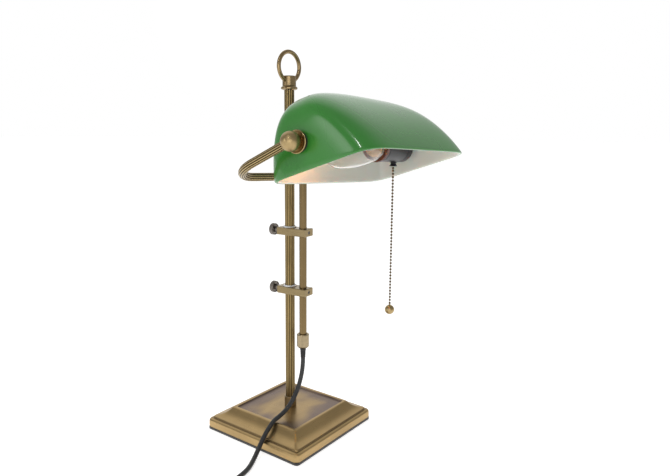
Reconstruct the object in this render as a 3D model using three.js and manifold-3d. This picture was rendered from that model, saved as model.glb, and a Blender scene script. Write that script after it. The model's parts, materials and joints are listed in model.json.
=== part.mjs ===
// Banker desk lamp: weighted square base, fluted pole, height-adjustable carriage,
// U-shaped yoke and a tilting cased-glass shade. Millimetres, +Z up.
// Origin: centre of the base's underside, on the pole's axis. +X runs along the shade,
// -Y is the reader's side.
import * as THREE from "three";
import { mergeVertices } from "three/addons/utils/BufferGeometryUtils.js";
import Module from "manifold-3d";

const wasm = await Module();
wasm.setup();

// ---- driving dimensions -------------------------------------------------------------
const GAP = 0.3; // running and seating gap between neighbouring pieces

const BASE_HALF = 82; // half the side of the square base
const BORDER_HALF = 56.4; // half the side of the raised border
const BASE_TOP = 30; // height of the raised border
const PANEL_TOP = 28; // height of the recessed panel inside the border
const PAD_TOP = 2.5; // thickness of the soft pad under the base

const POLE_R = 6.5;
const POLE_BORE = 5;
const POLE_TOP = 462;
const STUD_R = 4.6; // threaded studs in the pole's ends
const COLLAR_R = 8.3;
const COLLAR_TOP = 47.5;

const RING_R = 18.7; // finial ring, to the middle of its wire
const RING_WIRE_R = 2.65;
const RING_Z = 491.3;
const RING_TURN = -3; // degrees about the pole

const CARRIAGE_TURN = 4.7; // degrees that the clamps stand round the pole
const CLAMP_HEIGHTS = { upper: 278, lower: 197 };
const CLAMP_HALF_WIDTH = 9.6;
const CLAMP_THICK = 10;
const CLAMP_BACK = 15.1; // behind the pole's axis
const CLAMP_FRONT = 31.3; // in front of it
const BUSHING_R = 8.2;
const BUSHING_PROUD = 2;

const TUBE_OFFSET = 21.7; // slide tube's axis in front of the pole's axis
const TUBE_R = 5;
const TUBE_BORE = 3.8;
const GLAND_LOW = 115;
const GLAND_TOP = 136;
const GLAND_R = 7.3;
const GRIP_LOW = 104; // lower end of the cord's strain relief

const HEAD_TURN = 1; // degrees that the head is turned about the slide tube
const HEAD_DROOP = 2.7; // degrees that the yoke's right end hangs lower
const YOKE_SLIP = -3.6; // how far the yoke is slid along X in its hub
const YOKE_Z = 351.8;
const YOKE_R = 5;
const YOKE_BORE = 3.8;
const YOKE_BEND = 41.5;
const PIVOT_FORWARD = 90.3; // shade's pivot axis, from the yoke's middle
const PIVOT_RISE = 41.5;
const BALL_X = 131.6; // ball knob's centre, either side of the middle
const BALL_R = 10.3;

const SHADE_HALF_LENGTH = 116.6;
const SHADE_HALF_DEPTH = 71.8;
const SHADE_HEIGHT = 88.5;
const SHADE_WALL = 3.5;
const SHADE_RIM_DROP = 31.1; // rim plane below the pivot axis
const SHADE_RIM_SHIFT = -12.5; // rim's middle in front of the pivot axis
const SHADE_LEAN = 0.149; // how far the section leans back for each unit of height
const SHADE_TILT = 18.3; // degrees that the front edge is tipped up

const SOCKET_R = 18.5;
const CHAIN_X = 79.9; // pull chain, right of the yoke's middle
const BELL_DROP = 24; // bell mouth's lower edge below the socket's axis
const BEAD_R = 1.6;
const BEAD_PITCH = 4.3;
const BEADS = 43;
const PULL_BALL_R = 6.2;

const CORD_R = 3;
const CORD_Z = 3.1; // middle of the cord where it lies on the table
const COIL_CENTRE = new THREE.Vector2(-192, -96);
const COIL_INNER_R = 23.6;
const COIL_OUTER_R = 48.5;
const COIL_HEIGHT = 12.4;
const PLUG_CENTRE = new THREE.Vector2(-239, -170);
const PLUG_TURN = -90; // degrees, the way its pins point from +X

const deg = THREE.MathUtils.degToRad;
const vec = (x, y, z) => new THREE.Vector3(x, y, z);

// ---- materials ----------------------------------------------------------------------
const material = (color, roughness, metalness, more = {}) =>
  new THREE.MeshStandardMaterial({ color, roughness, metalness, ...more });
const antiqueBrass = () => material(0x8f7440, 0.36, 1);
const darkBronze = () => material(0x5b4a35, 0.42, 1);
const softBrass = () => material(0xa8935e, 0.33, 1);
const steel = () => material(0x9a9a98, 0.35, 1);
const castIron = () => material(0x3b3b3b, 0.7, 0.8);
const blackPlastic = () => material(0x17181a, 0.38, 0);
const brownPlastic = () => material(0x4a2515, 0.35, 0);
const nylon = () => material(0xe2e2e0, 0.5, 0);
const rubber = () => material(0x1b1b1b, 0.8, 0);
const felt = () => material(0x16140f, 0.95, 0);
const porcelain = () => material(0xeeebe4, 0.3, 0);
const greenGlass = () => material(0x2c7a35, 0.08, 0);
const clearGlass = () => material(0xf5ead8, 0.03, 0, { transparent: true, opacity: 0.35 });

// ---- geometry helpers ---------------------------------------------------------------
// A closed geometry as a solid whose faces point outwards.
function toSolid(geometry) {
  const bare = geometry.clone();
  bare.deleteAttribute("normal");
  bare.deleteAttribute("uv");
  const merged = mergeVertices(bare, 1e-4);
  const make = (triVerts) =>
    new wasm.Manifold(
      new wasm.Mesh({ numProp: 3, vertProperties: merged.attributes.position.array, triVerts }),
    );
  const triVerts = new Uint32Array(merged.index.array);
  const solid = make(triVerts);
  return solid.volume() >= 0 ? solid : make(triVerts.reverse());
}

function fromSolid(solid) {
  const mesh = solid.getMesh();
  const geometry = new THREE.BufferGeometry();
  geometry.setAttribute("position", new THREE.BufferAttribute(mesh.vertProperties, 3));
  geometry.setIndex(new THREE.BufferAttribute(mesh.triVerts, 1));
  geometry.computeVertexNormals();
  return geometry;
}

const outward = (geometry) => fromSolid(toSolid(geometry));

function cut(geometry, ...tools) {
  return fromSolid(tools.reduce((left, tool) => left.subtract(toSolid(tool)), toSolid(geometry)));
}

const join = (a, b) => fromSolid(toSolid(a).add(toSolid(b)));

// A solid of revolution about Z. Points are [radius, z], from axis to axis or a closed loop.
function turned(points, sides = 24) {
  const profile = points.map(([r, z]) => new THREE.Vector2(r, z));
  return new THREE.LatheGeometry(profile, sides).rotateX(Math.PI / 2);
}

// A ring or sleeve of square section about Z.
const sleeve = (inner, outer, low, high, sides = 20) =>
  turned([[inner, low], [outer, low], [outer, high], [inner, high], [inner, low]], sides);

// The same solids, laid along X: the second coordinate is then x.
const alongX = (geometry) => geometry.rotateY(Math.PI / 2);

// A plain rod between two points.
function rod(radius, from, to, sides = 20) {
  const along = to.clone().sub(from);
  const turn = new THREE.Quaternion().setFromUnitVectors(vec(0, 1, 0), along.clone().normalize());
  const middle = from.clone().add(to).multiplyScalar(0.5);
  return new THREE.CylinderGeometry(radius, radius, along.length(), sides)
    .applyQuaternion(turn)
    .translate(middle.x, middle.y, middle.z);
}

// phase turns the outline, in steps of its sides
const regularOutline = (sides, radius, phase = 0) =>
  Array.from({ length: sides }, (_, i) => {
    const angle = (2 * Math.PI * (i + phase)) / sides;
    return new THREE.Vector2(radius * Math.cos(angle), radius * Math.sin(angle));
  });

// A regular outline of a section, with a round bore if bore isn't 0.
function section(sides, radius, boreSides, bore) {
  const shape = new THREE.Shape(regularOutline(sides, radius));
  if (bore) shape.holes.push(new THREE.Path(regularOutline(boreSides, bore, 0.5)));
  return shape;
}

// A hexagon nut about Z.
function hexNut(boreR, cornerR, low, high) {
  const extrusion = { depth: high - low, bevelEnabled: false };
  return new THREE.ExtrudeGeometry(section(6, cornerR, 18, boreR), extrusion).translate(0, 0, low);
}

// A tube or bar along a curve.
function swept(points, outer, inner, sides, steps) {
  const path = new THREE.CatmullRomCurve3(points, false, "centripetal");
  const extrusion = { extrudePath: path, steps, bevelEnabled: false };
  return new THREE.ExtrudeGeometry(section(sides, outer, sides, inner), extrusion);
}

// One level of a square loft: a square of half-side half, with corners of radius corner.
function squareRing([half, z, corner], cornerSteps = 3) {
  const points = [];
  for (let quarter = 0; quarter < 4; quarter++) {
    for (let i = 0; i <= cornerSteps; i++) {
      const angle = (Math.PI / 2) * (quarter + i / cornerSteps);
      const sx = quarter === 0 || quarter === 3 ? 1 : -1;
      const sy = quarter < 2 ? 1 : -1;
      points.push([
        sx * (half - corner) + corner * Math.cos(angle),
        sy * (half - corner) + corner * Math.sin(angle),
        z,
      ]);
    }
  }
  return points;
}

// Levels joined in a loop, so the first and last meet round a central hole.
function loopLoft(levels) {
  const rings = levels.map((level) => squareRing(level));
  const count = rings[0].length;
  const index = [];
  rings.forEach((_, r) => {
    const here = r * count;
    const next = ((r + 1) % rings.length) * count;
    for (let i = 0; i < count; i++) {
      const j = (i + 1) % count;
      index.push(here + i, here + j, next + j, here + i, next + j, next + i);
    }
  });
  const geometry = new THREE.BufferGeometry();
  const flat = new Float32Array(rings.flat(2));
  geometry.setAttribute("position", new THREE.BufferAttribute(flat, 3));
  geometry.setIndex(index);
  return geometry;
}

// Points of a shallow curve from a to b that sags by sag to its right.
function sagged(a, b, sag, steps, corner) {
  const along = [b[0] - a[0], b[1] - a[1]];
  const length = Math.hypot(...along);
  const points = [];
  for (let i = 0; i <= steps; i++) {
    const t = i / steps;
    const off = (4 * sag * t * (1 - t)) / length;
    points.push([a[0] + along[0] * t + along[1] * off, a[1] + along[1] * t - along[0] * off, corner]);
  }
  return points;
}

const lamp = new THREE.Group();

function add(group, name, geometry, mat) {
  const mesh = new THREE.Mesh(outward(geometry), mat);
  mesh.name = name;
  group.add(mesh);
  return mesh;
}

// ---- base ---------------------------------------------------------------------------
function baseShell() {
  const cove = sagged([58.2, 28.6], [76.2, 17.9], 2.3, 6, 3.6);
  return loopLoft([
    [STUD_R + 0.6, 26.3, STUD_R + 0.6],
    [STUD_R + 0.6, PANEL_TOP, STUD_R + 0.6],
    [52, PANEL_TOP, 2],
    [52.6, BASE_TOP - 0.4, 2.2],
    [53.2, BASE_TOP, 2.6],
    [BORDER_HALF - 0.5, BASE_TOP, 3],
    [57.3, 29.5, 3.3],
    ...cove,
    [76.8, 17.3, 4],
    [76.9, 15.4, 4],
    [79, 15.2, 4.4],
    [81.2, 14.2, 5],
    [BASE_HALF, 12.2, 5.4],
    [BASE_HALF, PAD_TOP + GAP, 5.4],
    [79.6, PAD_TOP + GAP, 4],
    [79.6, 11.8, 4],
    [75, 13.2, 3.6],
    [69, 16.2, 3],
    [58, 23.6, 3],
    [52, 26.3, 2],
  ]);
}

function baseWeight() {
  return loopLoft([
    [14, 4, 14],
    [76, 4, 4],
    [76, 11.6, 4],
    [62, 15.6, 4],
    [50, 25.8, 4],
    [STUD_R + GAP, 25.8, STUD_R + GAP],
    [STUD_R + GAP, 14, STUD_R + GAP],
    [14, 14, 14],
  ]);
}

function basePad() {
  const half = 81.4;
  const corner = 5.4;
  const outline = squareRing([half, 0, corner]).map(([x, y]) => new THREE.Vector2(x, y));
  return new THREE.ExtrudeGeometry(new THREE.Shape(outline), { depth: PAD_TOP, bevelEnabled: false });
}

add(lamp, "base_shell", baseShell(), antiqueBrass());
add(lamp, "base_weight", baseWeight(), castIron());
add(lamp, "base_pad", basePad(), felt());
add(lamp, "pole_stud", turned([[0, 5], [STUD_R, 5], [STUD_R, 60], [0, 60]], 16), steel());
add(lamp, "pole_washer", sleeve(STUD_R + GAP, 11, 12.1, 13.7), steel());
add(lamp, "pole_nut", hexNut(STUD_R + GAP, 9.8, 5.6, 11.8), steel());

// ---- pole and finial ----------------------------------------------------------------
add(lamp, "main_pole", sleeve(POLE_BORE, POLE_R, PANEL_TOP + GAP, POLE_TOP, 24), antiqueBrass());

const collarProfile = [
  [POLE_R + 0.4, PANEL_TOP + GAP],
  [COLLAR_R, PANEL_TOP + GAP],
  [COLLAR_R, COLLAR_TOP - 0.6],
  [COLLAR_R - 0.6, COLLAR_TOP],
  [POLE_R + 0.4, COLLAR_TOP],
  [POLE_R + 0.4, PANEL_TOP + GAP],
];
add(lamp, "pole_collar", turned(collarProfile, 24), softBrass());

const finial = new THREE.Group();
finial.rotation.z = deg(RING_TURN);
lamp.add(finial);
const flangeProfile = [
  [STUD_R + GAP, POLE_TOP + GAP],
  [8, POLE_TOP + GAP],
  [10.7, 463.6],
  [10.7, 465.4],
  [9.2, 466.8],
  [STUD_R + GAP, 466.8],
  [STUD_R + GAP, POLE_TOP + GAP],
];
add(finial, "finial_flange", turned(flangeProfile, 20), darkBronze());
add(finial, "finial_stud", turned([[0, 440], [STUD_R, 440], [STUD_R, 472], [0, 472]], 16), steel());

function finialRing() {
  const block = turned([[0, 467.1], [8.8, 467.1], [8.8, 479.2], [8, 480], [0, 480]], 20);
  const ring = new THREE.TorusGeometry(RING_R, RING_WIRE_R, 8, 28)
    .rotateX(Math.PI / 2)
    .translate(0, 0, RING_Z);
  const bore = turned([[0, 460], [STUD_R + GAP, 460], [STUD_R + GAP, 472.4], [0, 472.4]], 16);
  return cut(join(block, ring), bore);
}
add(finial, "finial_ring", finialRing(), darkBronze());

// ---- carriage: two clamps on the pole -----------------------------------------------
const carriage = new THREE.Group();
carriage.rotation.z = deg(CARRIAGE_TURN);
lamp.add(carriage);

function clampBar() {
  const w = CLAMP_HALF_WIDTH;
  const chamfer = 1;
  const outline = new THREE.Shape([
    new THREE.Vector2(-w + chamfer, -CLAMP_FRONT),
    new THREE.Vector2(w - chamfer, -CLAMP_FRONT),
    new THREE.Vector2(w, -CLAMP_FRONT + chamfer),
    new THREE.Vector2(w, CLAMP_BACK - chamfer),
    new THREE.Vector2(w - chamfer, CLAMP_BACK),
    new THREE.Vector2(-w + chamfer, CLAMP_BACK),
    new THREE.Vector2(-w, CLAMP_BACK - chamfer),
    new THREE.Vector2(-w, -CLAMP_FRONT + chamfer),
  ]);
  const bar = new THREE.ExtrudeGeometry(outline, { depth: CLAMP_THICK, bevelEnabled: false })
    .translate(0, 0, -CLAMP_THICK / 2);
  const reach = CLAMP_THICK;
  return cut(
    bar,
    rod(BUSHING_R + GAP, vec(0, 0, -reach), vec(0, 0, reach), 20),
    rod(TUBE_R + GAP, vec(0, -TUBE_OFFSET, -reach), vec(0, -TUBE_OFFSET, reach), 18),
    rod(2.8, vec(0, 5, 0), vec(0, CLAMP_BACK + 5, 0), 16),
    rod(2.3, vec(0, -CLAMP_FRONT - 5, 0), vec(0, -TUBE_OFFSET - 2, 0), 14),
  );
}

// Screw along +Y: threaded shank, plain neck and a knurled head.
function thumbscrew() {
  return turned(
    [[0, 8.6], [2.5, 8.6], [2.5, 15.6], [3.9, 15.6], [3.9, 23.6], [7.4, 24.2], [8, 25], [8, 29], [7.2, 29.8], [0, 29.8]],
    20,
  ).rotateX(-Math.PI / 2);
}

for (const [place, height] of Object.entries(CLAMP_HEIGHTS)) {
  const level = new THREE.Group();
  level.position.z = height;
  carriage.add(level);
  const half = CLAMP_THICK / 2;
  add(level, `${place}_clamp`, clampBar(), antiqueBrass());
  add(
    level,
    `${place}_bushing`,
    sleeve(POLE_R + GAP, BUSHING_R, -half, half + BUSHING_PROUD, 20),
    nylon(),
  );
  const screwEnd = -TUBE_OFFSET - TUBE_R - GAP;
  add(level, `${place}_set_screw`, rod(2, vec(0, screwEnd, 0), vec(0, -CLAMP_FRONT + 0.4, 0), 14), steel());
  add(level, `${place}_thumbscrew`, thumbscrew(), darkBronze());
}

// ---- head: everything that the slide tube carries ------------------------------------
const head = new THREE.Group();
head.position.set(
  TUBE_OFFSET * Math.sin(deg(CARRIAGE_TURN)),
  -TUBE_OFFSET * Math.cos(deg(CARRIAGE_TURN)),
  0,
);
head.rotation.z = deg(HEAD_TURN);
lamp.add(head);

const HUB_LOW = YOKE_Z - 15;
add(head, "slide_tube", sleeve(TUBE_BORE, TUBE_R, 125, YOKE_Z - 6.3, 18), antiqueBrass());

const glandProfile = [
  [4.3, GLAND_LOW],
  [5.6, GLAND_LOW],
  [GLAND_R, GLAND_LOW + 2.4],
  [GLAND_R, GLAND_TOP - 1.6],
  [GLAND_R - 1.2, GLAND_TOP],
  [TUBE_R + GAP, GLAND_TOP],
  [TUBE_R + GAP, 124.7],
  [4.3, 124.7],
  [4.3, GLAND_LOW],
];
add(head, "cord_gland", turned(glandProfile, 20), softBrass());
add(head, "cord_grip", turned([[0, GRIP_LOW], [3.3, GRIP_LOW], [4, GLAND_LOW], [4, 124.4], [0, 124.4]], 16), rubber());

// droop carries the pieces that hang askew with the yoke. Its origin is the yoke's middle.
const droop = new THREE.Group();
droop.position.z = YOKE_Z;
droop.rotation.y = deg(HEAD_DROOP);
head.add(droop);

function yokeHub() {
  const barrel = turned(
    [[0, HUB_LOW], [7.6, HUB_LOW], [9, HUB_LOW + 2], [9, YOKE_Z + 8], [7, YOKE_Z + 11], [0, YOKE_Z + 13]],
    20,
  );
  const askew = new THREE.Euler(0, deg(HEAD_DROOP), 0);
  const left = vec(-20, 0, 0).applyEuler(askew).add(vec(0, 0, YOKE_Z));
  const right = vec(20, 0, 0).applyEuler(askew).add(vec(0, 0, YOKE_Z));
  const tubeSeat = rod(TUBE_R + GAP, vec(0, 0, HUB_LOW - 5), vec(0, 0, YOKE_Z), 24);
  return cut(barrel, rod(YOKE_R + GAP, left, right, 24), tubeSeat);
}
add(head, "yoke_hub", yokeHub(), antiqueBrass());

const yoke = new THREE.Group();
yoke.position.x = YOKE_SLIP;
droop.add(yoke);
const ARM = vec(0, -PIVOT_FORWARD, PIVOT_RISE);
const ARM_LENGTH = ARM.length();
const ARM_WAY = ARM.clone().normalize();

// The yoke's middle line: along X, round a quarter bend, and up its arm, mirrored.
function yokeLine() {
  const half = [];
  half.push(vec(0, 0, 0), vec(30, 0, 0), vec(60, 0, 0));
  const bendSteps = 9;
  for (let i = 0; i <= bendSteps; i++) {
    const angle = ((Math.PI / 2) * i) / bendSteps;
    const x = BALL_X - YOKE_BEND + YOKE_BEND * Math.sin(angle);
    const up = YOKE_BEND * (1 - Math.cos(angle));
    half.push(ARM_WAY.clone().multiplyScalar(up).setX(x));
  }
  for (const up of [70, ARM_LENGTH - 6.5]) {
    half.push(ARM_WAY.clone().multiplyScalar(up).setX(BALL_X));
  }
  const mirrored = half.slice(1).reverse().map((p) => vec(-p.x, p.y, p.z));
  return [...mirrored, ...half];
}
add(yoke, "yoke_tube", swept(yokeLine(), YOKE_R, YOKE_BORE, 10, 26), antiqueBrass());

// ---- shade pivots --------------------------------------------------------------------
const pivot = new THREE.Group();
pivot.position.copy(ARM);
yoke.add(pivot);
const shade = new THREE.Group();
shade.rotation.x = deg(-SHADE_TILT);
pivot.add(shade);

const PIVOT_BORE = 5.2;
const glassIn = SHADE_HALF_LENGTH - SHADE_WALL;

for (const [place, side] of [["left", -1], ["right", 1]]) {
  // lays a Z-turned solid along this side's pivot
  const onSide = (geometry) => alongX(geometry).scale(side, 1, 1);
  const ball = cut(
    new THREE.SphereGeometry(BALL_R, 16, 10).translate(side * BALL_X, 0, 0),
    rod(PIVOT_BORE, vec(side * (BALL_X - 15), 0, 0), vec(side * (BALL_X - 4.8), 0, 0), 18),
    rod(
      YOKE_R + GAP,
      ARM_WAY.clone().multiplyScalar(-15).setX(side * BALL_X),
      ARM_WAY.clone().multiplyScalar(-6).setX(side * BALL_X),
      18,
    ),
  );
  add(pivot, `${place}_ball`, ball, antiqueBrass());
  const nippleIn = side > 0 ? 99 : 105.5;
  add(pivot, `${place}_nipple`, onSide(sleeve(3.4, 4.9, nippleIn, BALL_X - 5.2, 18)), steel());
  const cupFace = SHADE_HALF_LENGTH + 1.3;
  const cup = turned(
    [[5.3, cupFace], [12.2, cupFace], [12.2, cupFace + 1.5], [7.2, cupFace + 4.2], [5.3, cupFace + 4.2], [5.3, cupFace]],
    20,
  );
  add(pivot, `${place}_cup`, onSide(cup), antiqueBrass());
  add(pivot, `${place}_lock_nut`, onSide(hexNut(PIVOT_BORE, 9.8, glassIn - 5.8, glassIn - 2)), steel());
  add(shade, `${place}_gasket`, onSide(sleeve(5.4, 11.2, SHADE_HALF_LENGTH + GAP, cupFace - GAP)), rubber());
  add(shade, `${place}_washer`, onSide(sleeve(5.4, 10.4, glassIn - 1.7, glassIn - GAP)), steel());
}

// ---- glass shade ---------------------------------------------------------------------
// Each level is a superellipse that grows squarer towards the rim. The ends stay upright
// to near the top, and the long sides flare.
function shadePoint(angle, level, inset) {
  const halfLength = (SHADE_HALF_LENGTH - inset) * Math.pow(1 - Math.pow(level, 7.04), 1 / 3.78);
  const halfDepth = (SHADE_HALF_DEPTH - inset) * Math.pow(1 - Math.pow(level, 1.28), 1 / 2.19);
  const power = 8.2 - 5.4 * level;
  const c = Math.cos(angle);
  const s = Math.sin(angle);
  const reach = Math.pow(Math.pow(Math.abs(c), power) + Math.pow(Math.abs(s), power), -1 / power);
  const rise = (SHADE_HEIGHT - inset) * level;
  return [
    halfLength * reach * c,
    SHADE_RIM_SHIFT + SHADE_LEAN * rise + halfDepth * reach * s,
    rise - SHADE_RIM_DROP,
  ];
}

function shadeGlass(columns = 32, rows = 9) {
  const positions = [];
  const index = [];
  for (const inset of [0, SHADE_WALL]) {
    for (let r = 0; r < rows; r++) {
      const level = Math.sin(((Math.PI / 2) * r) / rows);
      for (let i = 0; i < columns; i++) {
        positions.push(...shadePoint((2 * Math.PI * i) / columns, level, inset));
      }
    }
    positions.push(...shadePoint(0, 1, inset));
  }
  const wallSize = rows * columns + 1;
  for (const [start, flip] of [[0, false], [wallSize, true]]) {
    const face = (a, b, c) => (flip ? index.push(a, c, b) : index.push(a, b, c));
    for (let r = 0; r < rows; r++) {
      for (let i = 0; i < columns; i++) {
        const j = (i + 1) % columns;
        const low = start + r * columns;
        const high = low + columns;
        if (r === rows - 1) {
          face(low + i, low + j, start + wallSize - 1);
        } else {
          face(low + i, low + j, high + j);
          face(low + i, high + j, high + i);
        }
      }
    }
  }
  for (let i = 0; i < columns; i++) {
    const j = (i + 1) % columns;
    index.push(j, i, wallSize + i, j, wallSize + i, wallSize + j);
  }
  const geometry = new THREE.BufferGeometry();
  geometry.setAttribute("position", new THREE.Float32BufferAttribute(positions, 3));
  geometry.setIndex(index);
  const reach = SHADE_HALF_LENGTH + 10;
  return cut(geometry, rod(5.6, vec(-reach, 0, 0), vec(reach, 0, 0), 20));
}
add(shade, "shade_glass", shadeGlass(), greenGlass());

// ---- socket and bulb, on the shade's pivot axis ---------------------------------------
const capProfile = [
  [PIVOT_BORE, 106.9],
  [9, 106.9],
  [15, 104],
  [SOCKET_R, 97],
  [SOCKET_R, 90.3],
  [16.3, 90.3],
  [16.3, 96],
  [13.5, 100.5],
  [PIVOT_BORE, 102],
  [PIVOT_BORE, 106.9],
];
const bellHole = rod(3.4, vec(CHAIN_X, 0, -5), vec(CHAIN_X, 0, -25), 16);
add(pivot, "socket_cap", alongX(turned(capProfile, 22)), blackPlastic());
add(pivot, "socket_body", cut(alongX(sleeve(16.3, SOCKET_R, 38.3, 90, 22)), bellHole), blackPlastic());
add(pivot, "socket_ring", alongX(sleeve(14.7, 19.4, 28, 38, 22)), brownPlastic());
const insertHole = rod(2.4, vec(CHAIN_X, 0, -2), vec(CHAIN_X, 0, -25), 14);
add(
  pivot,
  "socket_insert",
  cut(alongX(turned([[0, 61], [15.9, 61], [15.9, 88], [0, 88]], 18)), insertHole),
  porcelain(),
);
add(pivot, "screw_shell", alongX(sleeve(13.5, 14.1, 33, 60, 20)), softBrass());

const BULB_R = 29.5;
const BULB_X = -28;
const bulbProfile = (radius) => {
  const points = [];
  const steps = 7;
  for (let i = 0; i <= steps; i++) {
    const angle = (0.7 * Math.PI * i) / steps;
    points.push([radius * Math.sin(angle), BULB_X - radius * Math.cos(angle)]);
  }
  const neck = radius / BULB_R;
  points.push([18.6 * neck, 2], [14.6 * neck, 14], [12.6 * neck, 29.6]);
  return points;
};
const bulbWall = [...bulbProfile(BULB_R), ...bulbProfile(BULB_R - 0.9).reverse()];
add(pivot, "bulb_glass", alongX(turned(bulbWall, 16)), clearGlass());
add(
  pivot,
  "bulb_cap",
  alongX(turned([[0, 30], [13.1, 30], [13.1, 53], [8, 56], [4, 56.6], [4, 58.4], [0, 58.4]], 18)),
  softBrass(),
);
add(
  pivot,
  "bulb_mount",
  alongX(turned([[0, -38], [0.8, -38], [1.2, -14], [3, -8], [4.5, 12], [9, 29.6], [0, 29.6]], 14)),
  clearGlass(),
);

// ---- pull chain -----------------------------------------------------------------------
const bellProfile = [
  [2, -BELL_DROP + 7.6],
  [3.1, -BELL_DROP + 7.6],
  [3.1, -BELL_DROP + 4.6],
  [3.8, -BELL_DROP + 3],
  [5.4, -BELL_DROP],
  [4.3, -BELL_DROP],
  [2, -BELL_DROP + 3.4],
  [2, -BELL_DROP + 7.6],
];
add(pivot, "bell_mouth", turned(bellProfile, 14).translate(CHAIN_X, 0, 0), blackPlastic());
add(pivot, "pull_link", rod(1.2, vec(CHAIN_X, 0, -10), vec(CHAIN_X, 0, -BELL_DROP - 0.4), 10), softBrass());

// chain hangs plumb from the bell mouth, so it leaves the yoke's droop behind
const chain = new THREE.Group();
chain.position
  .set(YOKE_SLIP + CHAIN_X, -PIVOT_FORWARD, PIVOT_RISE - BELL_DROP - 0.5)
  .applyEuler(new THREE.Euler(0, deg(HEAD_DROOP), 0));
chain.position.z += YOKE_Z;
head.add(chain);

const FIRST_BEAD = -BEAD_R - 0.3;
add(chain, "pull_bead", new THREE.SphereGeometry(BEAD_R, 10, 8).translate(0, 0, FIRST_BEAD), softBrass());

const CHAIN_TOP = FIRST_BEAD - BEAD_R - GAP;
const CHAIN_LENGTH = (BEADS - 1) * BEAD_PITCH + 2 * BEAD_R;
const CHAIN_LOW = CHAIN_TOP - CHAIN_LENGTH;

function beadChain() {
  const points = [[0, CHAIN_TOP]];
  for (let i = 0; i < BEADS; i++) {
    const middle = CHAIN_TOP - BEAD_R - i * BEAD_PITCH;
    points.push([BEAD_R, middle]);
    if (i < BEADS - 1) points.push([0.5, middle - BEAD_PITCH / 2]);
  }
  points.push([0, CHAIN_LOW]);
  return turned(points, 6);
}
add(chain, "pull_chain", beadChain(), softBrass());

const ballMiddle = CHAIN_LOW - GAP - 1 - PULL_BALL_R;
const pullBall = join(
  new THREE.SphereGeometry(PULL_BALL_R, 14, 10).translate(0, 0, ballMiddle),
  rod(2, vec(0, 0, ballMiddle), vec(0, 0, CHAIN_LOW - GAP), 12),
);
add(chain, "pull_ball", pullBall, antiqueBrass());

// ---- cord, put-away coil and plug -------------------------------------------------------
// The cord drops from the gland, leans over the border and the base's left edge, and runs
// along the table to the coil.
const cordExit = head.position;
const cordRoute = [
  [cordExit.x, cordExit.y, GRIP_LOW - GAP],
  [1.4, -21.6, 94],
  [-0.8, -21.6, 82],
  [-5, -21.5, 70],
  [-11.4, -21.4, 58.5],
  [-20.4, -21.3, 48.4],
  [-32.4, -21.2, 40],
  [-45.6, -21.1, 35.6],
  [-57.2, -21.4, 33.4],
  [-67, -22.1, 28.4],
  [-75.6, -23.1, 23],
  [-84.2, -24.7, 17],
  [-92.4, -26.9, 11.4],
  [-101.4, -30, 6.8],
  [-111.6, -34.2, 4],
  [-123, -39.2, CORD_Z],
  [-135.6, -42.8, CORD_Z],
  [-149.4, -44.6, CORD_Z],
  [-162, -45.3, CORD_Z],
  [-174, -46.4, CORD_Z],
].map((p) => vec(...p));
add(lamp, "cord", swept(cordRoute, CORD_R, 0, 8, 26), rubber());

const PLUG_HEIGHT = 13.6;
const PLUG_REAR = 30; // behind the plug's centre
const tailRoute = [
  [-238.6, -119, 8.2],
  [-239, -128, 7.1],
  [PLUG_CENTRE.x, PLUG_CENTRE.y + PLUG_REAR + GAP, PLUG_HEIGHT / 2],
].map((p) => vec(...p));
add(lamp, "cord_tail", swept(tailRoute, CORD_R, 0, 8, 4), rubber());

const coil = sleeve(COIL_INNER_R, COIL_OUTER_R, 0.1, COIL_HEIGHT, 24)
  .translate(COIL_CENTRE.x, COIL_CENTRE.y, 0);
add(lamp, "cord_coil", coil, rubber());

const plug = new THREE.Group();
plug.position.set(PLUG_CENTRE.x, PLUG_CENTRE.y, 0.1);
plug.rotation.z = deg(PLUG_TURN);
lamp.add(plug);
const PIN_SPACING = 19;

function plugBody() {
  const outline = new THREE.Shape([
    new THREE.Vector2(18, -17.5),
    new THREE.Vector2(18, 17.5),
    new THREE.Vector2(4, 17.5),
    new THREE.Vector2(-17, 5.5),
    new THREE.Vector2(-PLUG_REAR, 4.2),
    new THREE.Vector2(-PLUG_REAR, -4.2),
    new THREE.Vector2(-17, -5.5),
    new THREE.Vector2(4, -17.5),
  ]);
  return new THREE.ExtrudeGeometry(outline, { depth: PLUG_HEIGHT, bevelEnabled: false });
}
add(plug, "plug_body", plugBody(), blackPlastic());
for (const [place, side] of [["left", 1], ["right", -1]]) {
  const y = (side * PIN_SPACING) / 2;
  const z = PLUG_HEIGHT / 2;
  add(plug, `plug_${place}_pin`, rod(2, vec(18.3, y, z), vec(37, y, z), 12), steel());
}

export default lamp;
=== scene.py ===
"""Looks of the banker desk lamp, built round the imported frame. Metres, +Z up.

Shapes are worked out in millimetres and brought to metres where a piece is made.
"""

import json
import math

import bmesh
import bpy
import numpy as np
from mathutils import Matrix, Vector

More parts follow.
